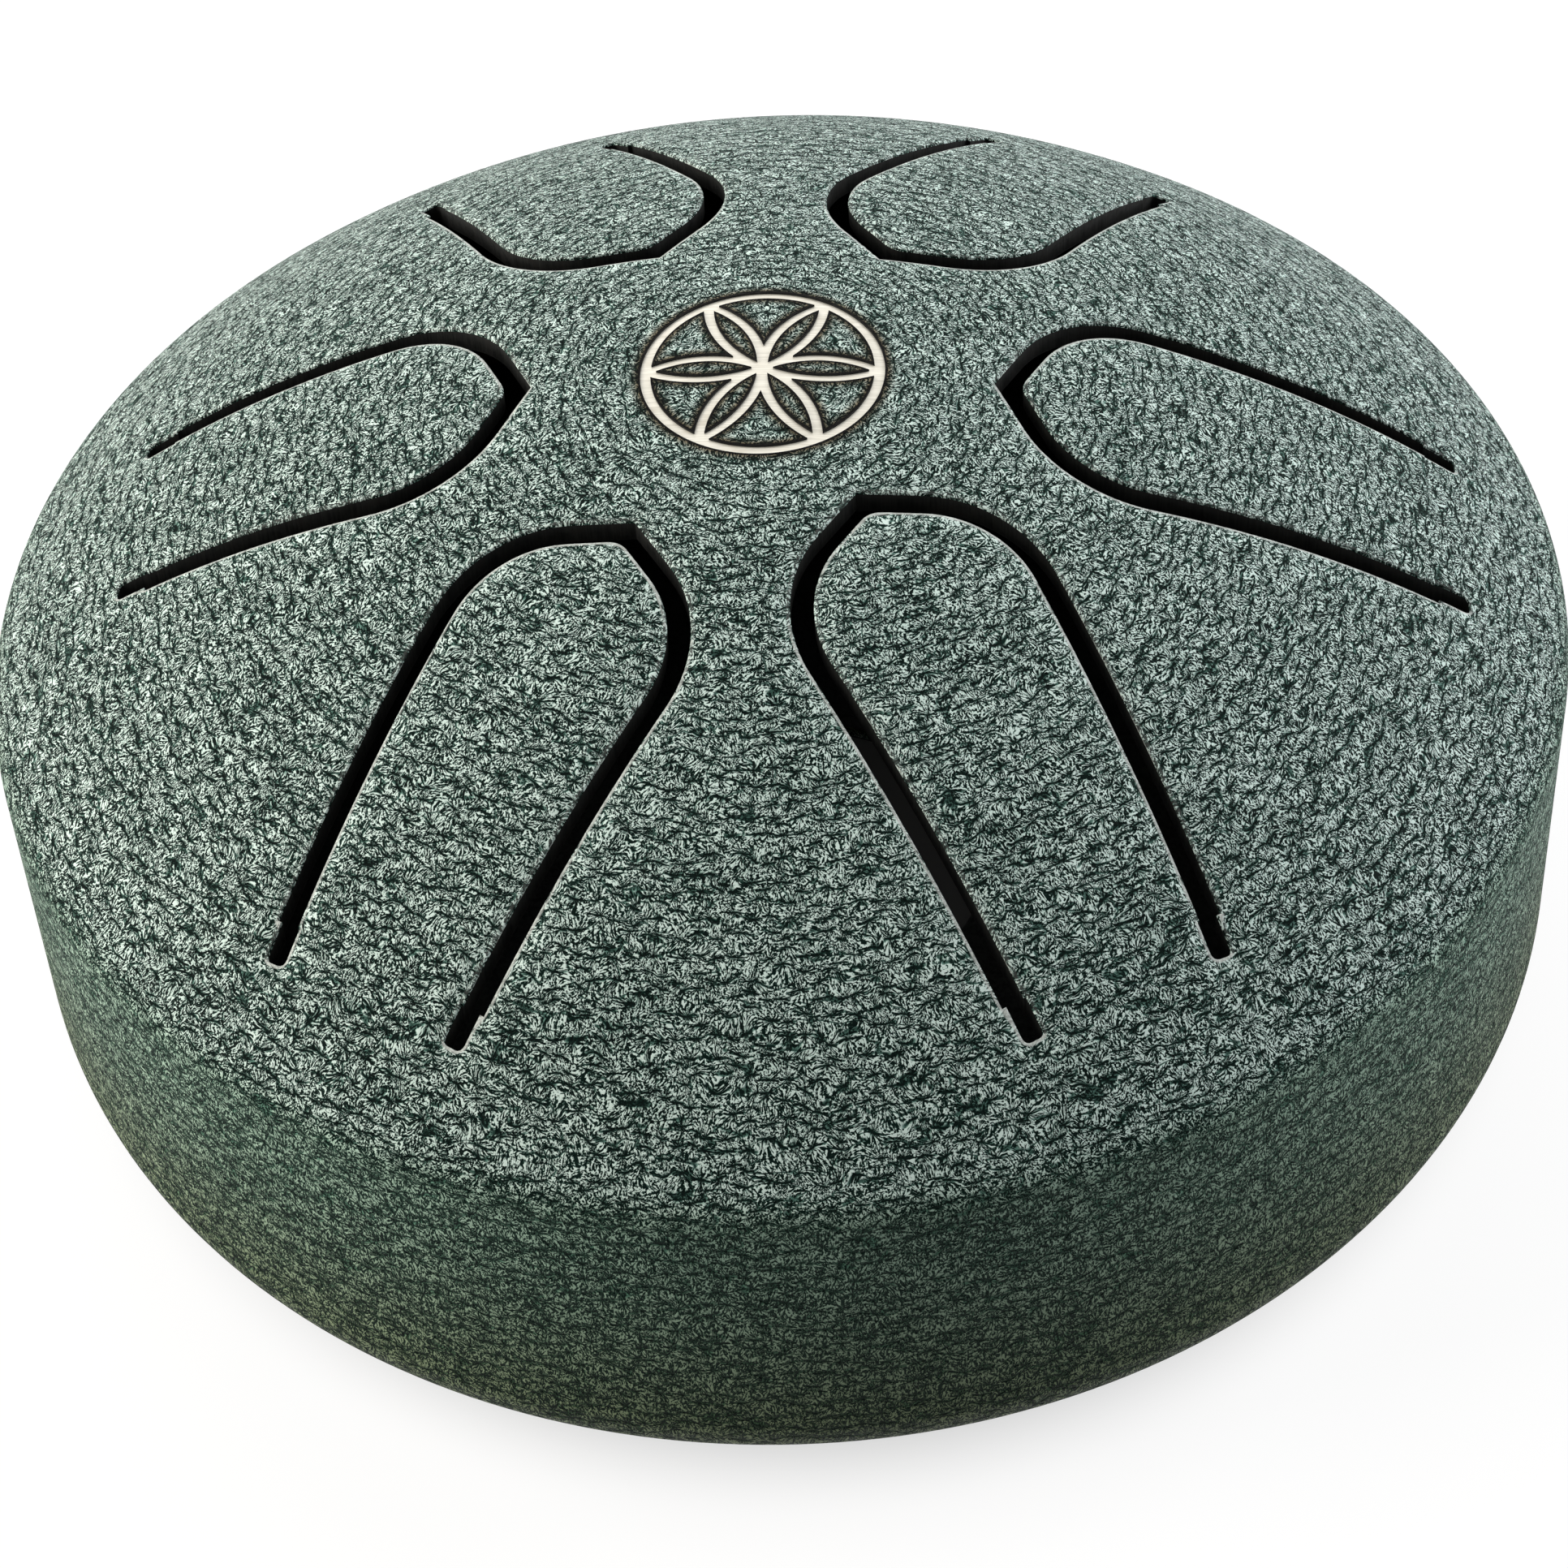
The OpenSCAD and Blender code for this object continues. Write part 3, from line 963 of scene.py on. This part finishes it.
# Painted shade: the creases darken the tone, less on the side wall.
crease_shade = times(tree, wrinkle["Crease"], spread(tree, on_wall, 0.0, 1.0, 0.85, 0.5))
tone = times(tree, tone, minus(tree, 1.0, crease_shade), clamp=True)
filled = plus(tree, times(tree, tone, 0.66), 0.2)
tone = blend(tree, on_wall, tone, filled, "FLOAT")

# %% Colours of the coat
# The ramp's dark end is painted shade in the pits and creases, and its pale end partly painted glints.
creases, ground = (0.0, rgb(1, 13, 10)), (0.36, rgb(10, 40, 33))
strokes, pale_tone_and_glint = (0.67, rgb(110, 150, 138)), (1.0, rgb(236, 255, 248))
grained = ramp(tree, tone, creases, ground, strokes, pale_tone_and_glint)
# Painted shade: the side wall is darker and more olive towards the base.
low_wall = spread(tree, level, base_z, corner_z, 1.0, 0.0)
painted_low_shade = blend(tree, low_wall, rgb(243, 253, 239), rgb(184, 180, 140))
colour = blend(tree, on_wall, grained, painted_low_shade, how="MULTIPLY")
on_dome = calc(tree, "GREATER_THAN", level, corner_z)
toasted = times(tree, spread(tree, to_line, 0.1, 0.65, 1.0, 0.0), on_dome)
colour = blend(tree, toasted, colour, rgb(140, 118, 98), how="MULTIPLY")
scorch = times(tree, spread(tree, to_line, 0.07, 0.17, 1.0, 0.0), on_dome)
colour = blend(tree, scorch, colour, rgb(9, 7, 6))
# The coat's pale edge, with a painted highlight where the edge looks to the back.
edge_band = times(tree, spread(tree, slot_gap, 0.02, 0.06), spread(tree, slot_gap, 0.14, 0.22, 1.0, 0.0))
pale_edge_and_highlight = times(tree, edge_band, spread(tree, slot_side, 0.3, 0.9, 0.1, 0.95))
colour = blend(tree, pale_edge_and_highlight, colour, rgb(226, 232, 227))
shader.inputs["Specular IOR Level"].default_value = 0.05
relief = times(tree, wrinkle["Height"], spread(tree, on_wall, 0.0, 1.0, 1.0, 4.0))
relief = plus(tree, relief, spread(tree, slot_gap, 0.0, 0.9, -1.0, 0.0))
roughness = spread(tree, wrinkle["Height"], -0.4, 0.5, 0.65, 0.45)
set_surface(tree, shader, colour, roughness, relief, 1.0, 0.14 * MM)

# %% [markdown]
# ## Bare steel, cut edges and the inside
#
# The rosette's floor is bare steel that was brushed before it was painted, so fine scratches run
# one way through all of its lines. The walls of the slots were cut by the laser: they are black
# with scale and faintly ribbed downwards. Inside, only a thin dark mist of powder has settled, in
# a coarser grain; its colour is kept nearly black as painted shade of the closed hollow.

# %% Bare steel
steel, tree, shader, place = new_material("bare_steel")
brushing = {"Vector": place, "Rotation": (0, 0, math.radians(12)), "Scale": (400, 16000, 400)}
scratch = noise(tree, node(tree, "Mapping", brushing).outputs[0], 1.0, 3.0)
stain = noise(tree, place, 700.0, 3.0)
colour = blend(tree, spread(tree, scratch, 0.3, 0.7), rgb(213, 209, 196), rgb(234, 230, 218))
colour = blend(tree, spread(tree, stain, 0.55, 0.8, 0.0, 0.5), colour, rgb(196, 184, 162))
shader.inputs["Metallic"].default_value = 0.4
roughness = spread(tree, scratch, 0.3, 0.7, 0.6, 0.45)
set_surface(tree, shader, colour, roughness, scratch, 0.4, 0.01 * MM)

# %% Cut edges
cut_edge, tree, shader, place = new_material("cut_edge")
ribs = noise(tree, vector(tree, "MULTIPLY", place, (9000, 9000, 500)), 1.0)
soot = noise(tree, place, 1500.0)
colour = blend(tree, spread(tree, ribs, 0.3, 0.7), rgb(8, 9, 9), rgb(26, 27, 25))
colour = blend(tree, spread(tree, soot, 0.5, 0.7, 0.0, 0.6), colour, rgb(14, 11, 8))
shader.inputs["Specular IOR Level"].default_value = 0.2
roughness = spread(tree, soot, 0.3, 0.7, 0.55, 0.8)
set_surface(tree, shader, colour, roughness, ribs, 0.7, 0.02 * MM)

# %% Inner coat
inner_coat, tree, shader, place = new_material("inner_coat")
in_mm = vector(tree, "SCALE", place, 1 / MM)
rows = vector(tree, "SCALE", place, 0.5 / MM)
coordinates = {"Vector": place, "Chart": in_mm, "Rows": rows, "Across": (0, 1, 0)}
coarser = {"Cell": 1.6, "Stroke": 0.25, "Star": 0.2}
wrinkle = node(tree, "Group", {**coordinates, **coarser}, node_tree=grain).outputs
mist = spread(tree, wrinkle["Patch"], 0.35, 0.65)
# Nearly black: a dark mist of powder, kept this dark as painted shade of the closed hollow.
colour = blend(tree, mist, rgb(16, 18, 17), rgb(30, 34, 32))
colour = blend(tree, times(tree, wrinkle["Stroke"], 0.4), colour, rgb(40, 46, 43))
shader.inputs["Specular IOR Level"].default_value = 0.3
roughness = spread(tree, wrinkle["Height"], -0.4, 0.5, 0.8, 0.6)
set_surface(tree, shader, colour, roughness, wrinkle["Height"], 0.6, 0.04 * MM)

# %% [markdown]
# ## Raw weld and rubber
#
# Inside the drum the weld was left as it cooled: the bead has straw and blue heat tints, which
# darken away from the joint. The rubber of the feet comes from a sand-blasted mould, so it is matt
# and finely pitted, with a little dust where the foot touches the table.

# %% Raw weld
raw_weld, tree, shader, place = new_material("raw_weld")
parts = node(tree, "SeparateXYZ", {0: place}).outputs
off_seam = calc(tree, "ABSOLUTE", minus(tree, parts[2], seam_z))
heat = spread(tree, off_seam, 0.0, bead_w / 2, 0.0, 0.8)
heat = plus(tree, heat, times(tree, noise(tree, place, 900.0, 3.0), 0.3))
straw, violet, blue = (0.45, rgb(150, 122, 82)), (0.62, rgb(92, 66, 96)), (0.78, rgb(56, 70, 104))
tint = ramp(tree, heat, (0.1, rgb(132, 128, 122)), straw, violet, blue, (1.0, rgb(40, 34, 32)))
shader.inputs["Metallic"].default_value = 0.85
scale = noise(tree, place, 5000.0)
roughness = spread(tree, scale, 0.3, 0.7, 0.35, 0.6)
set_surface(tree, shader, tint, roughness, scale, 0.3, 0.02 * MM)

# %% Foot rubber
rubber, tree, shader, place = new_material("foot_rubber")
pitting = noise(tree, place, 6500.0, 3.0)
smear = noise(tree, place, 500.0)
low = spread(tree, node(tree, "SeparateXYZ", {0: place}).outputs[2], 0.0, 0.9 * MM, 1.0, 0.0)
dust = times(tree, low, spread(tree, smear, 0.4, 0.65, 0.1, 0.7))
colour = blend(tree, spread(tree, pitting, 0.3, 0.7), rgb(22, 22, 23), rgb(40, 40, 41))
colour = blend(tree, times(tree, dust, 0.5), colour, rgb(104, 101, 95))
roughness = spread(tree, pitting, 0.3, 0.7, 0.6, 0.78)
set_surface(tree, shader, colour, roughness, pitting, 0.5, 0.03 * MM)

# %% [markdown]
# ## Dressing the pieces
#
# The shell's faces already hold the number of their finish, in the order of its material slots.
# The pan and the weld are sorted here: what looks up or towards the axis is the dark inside of the
# pan, and what lies inside the weld's outer face is raw. The rest is painted.

# %% Dress the pieces
for material in (coat, steel, cut_edge, inner_coat):
    shell.data.materials.append(material)
for material in (coat, inner_coat):
    pan.data.materials.append(material)
for face in pan.data.polygons:
    middle = face.center
    looks_in = face.normal.z - face.normal.xy.dot(middle.xy.normalized()) > 0.2
    face.material_index = int(looks_in and middle.xy.length > port_r + hair)
for material in (coat, raw_weld):
    weld.data.materials.append(material)
for face in weld.data.polygons:
    face.material_index = int(face.center.xy.length < body_r - hair)
for foot in feet:
    foot.data.materials.append(rubber)
print("dark faces of the pan:", sum(face.material_index for face in pan.data.polygons))

# %% [markdown]
# ## Floor and light
#
# The stage is a plain white floor. To the camera and in reflections it is white, while for the
# light that it throws back at the drum it is grey, so the dark side wall stays dark. Under the drum
# its glow fades away, a painted shadow in which its real shading shows too, soft and faint, and far
# out it glows a little more, so that no horizon shows. From below it is clear, and the underside can
# be looked at.
# Three broad lamps stand 0.8 m away, on the left, on the right and at the back, as in a small
# photo tent. The left one is slightly warm and the right one slightly cool.


# %% Floor
def seen_ray(tree):
    """1 for a ray from the camera, off a glossy surface or through a clear one, and 0 for others."""
    rays = node(tree, "LightPath").outputs
    seen = calc(tree, "MAXIMUM", rays["Is Camera Ray"], rays["Is Glossy Ray"])
    return calc(tree, "MAXIMUM", seen, rays["Is Transmission Ray"])


floor_w = 4.0
floor_drop = 0.02 * MM
floor_grey = 0.22
near_glow = 0.87
far_glow = 0.13
floor_place = (0, 0, -floor_drop)
bpy.ops.mesh.primitive_grid_add(x_subdivisions=8, y_subdivisions=8, size=floor_w, location=floor_place)
floor = bpy.context.object
floor.name = "studio_floor"
floor_paint = bpy.data.materials.new("studio_floor")
floor_paint.use_nodes = True
tree = floor_paint.node_tree
tree.nodes.clear()
under_r = vector(tree, "LENGTH", node(tree, "TexCoord").outputs["Object"], output=1)
# Painted shadow: the glow fades to nothing under the drum.
open_floor = spread(tree, under_r, foot_circle_r, body_r, 0.0, near_glow)
far_out = spread(tree, under_r, body_r * 3, body_r * 12, 0.0, far_glow)
open_floor = plus(tree, open_floor, far_out)
matt = node(tree, "BsdfDiffuse", {"Color": (floor_grey, floor_grey, floor_grey, 1)}).outputs[0]
glow = node(tree, "Emission", {"Color": (1, 1, 1, 1), "Strength": open_floor}).outputs[0]
lit = node(tree, "AddShader", {0: matt, 1: glow}).outputs[0]
shown = node(tree, "MixShader", {0: seen_ray(tree), 1: matt, 2: lit}).outputs[0]
from_below = node(tree, "NewGeometry").outputs["Backfacing"]
clear = node(tree, "BsdfTransparent").outputs[0]
shown = node(tree, "MixShader", {0: from_below, 1: shown, 2: clear}).outputs[0]
tree.links.new(shown, node(tree, "OutputMaterial").inputs[0])
floor.data.materials.append(floor_paint)

# %% World
tent_light = 0.18
world = bpy.data.worlds.new("tent")
bpy.context.scene.world = world
world.use_nodes = True
tree = world.node_tree
tree.nodes.clear()
tent = node(tree, "Background", {"Color": (1, 1, 1, 1), "Strength": tent_light}).outputs[0]
white = node(tree, "Background", {"Color": (1, 1, 1, 1), "Strength": 1.0}).outputs[0]
shown = node(tree, "MixShader", {0: seen_ray(tree), 1: tent, 2: white}).outputs[0]
tree.links.new(shown, node(tree, "OutputWorld").inputs[0])

# %% Lamps
lamp_w = 0.7
lamp_distance = 0.8


def lamp(name, azimuth, elevation, power, tint=(1, 1, 1)):
    """A square lamp that looks at the drum. Azimuth 0 stands in front, and 90 on the right."""
    light = bpy.data.lights.new(name, "AREA")
    light.size = lamp_w
    light.energy = power
    light.color = tint
    made = add(name, light)
    a, e = math.radians(azimuth), math.radians(elevation)
    towards = Vector((math.sin(a) * math.cos(e), -math.cos(a) * math.cos(e), math.sin(e)))
    made.location = Vector((0, 0, top_z / 2)) + towards * lamp_distance
    made.rotation_euler = towards.to_track_quat("Z", "Y").to_euler()
    print(name, "stands at", [round(c, 2) for c in made.location])


lamp("lamp_left", 270, 18, 9.6, (1.0, 0.955, 0.87))
lamp("lamp_back", 192, 38, 2.0)
lamp("lamp_right", 114, 20, 6.0, (0.97, 0.98, 1.0))

# %% [markdown]
# ## Camera
#
# The photograph was taken from close by, at a steep angle and slightly tilted, which a fit to the
# drum's outline and its slots found. The camera stands on the line from the drum at its azimuth
# and elevation, looks at a point near the middle, and is rolled a little.

# %% Camera
view_azimuth = math.radians(4.8)
view_elevation = 0.8276
view_distance = 5.7307 * body_r
view_roll = -0.0632
aim = Vector((-0.0055 * body_r, 0, 0.1749 * body_r))
back = Vector((0, -math.cos(view_elevation), math.sin(view_elevation)))
eye = back * view_distance
away = (eye - aim).normalized()
right = Vector((0, 0, 1)).cross(away).normalized()
up = away.cross(right)
tilted = Matrix((right, up, away)).transposed() @ Matrix.Rotation(view_roll, 3, "Z")
stand = Matrix.Translation((0, 0, base_z)) @ Matrix.Rotation(view_azimuth, 4, "Z")
camera_data = bpy.data.cameras.new("camera")
camera_data.sensor_width = 36
camera_data.lens = 96.37
camera_data.clip_start = 0.01
camera = add("camera", camera_data)
camera.matrix_world = stand @ Matrix.Translation(eye) @ tilted.to_4x4()
bpy.context.scene.camera = camera
bpy.context.scene.view_settings.view_transform = "Standard"
print("the camera stands", round(eye.length / MM), "mm from the middle of the base")
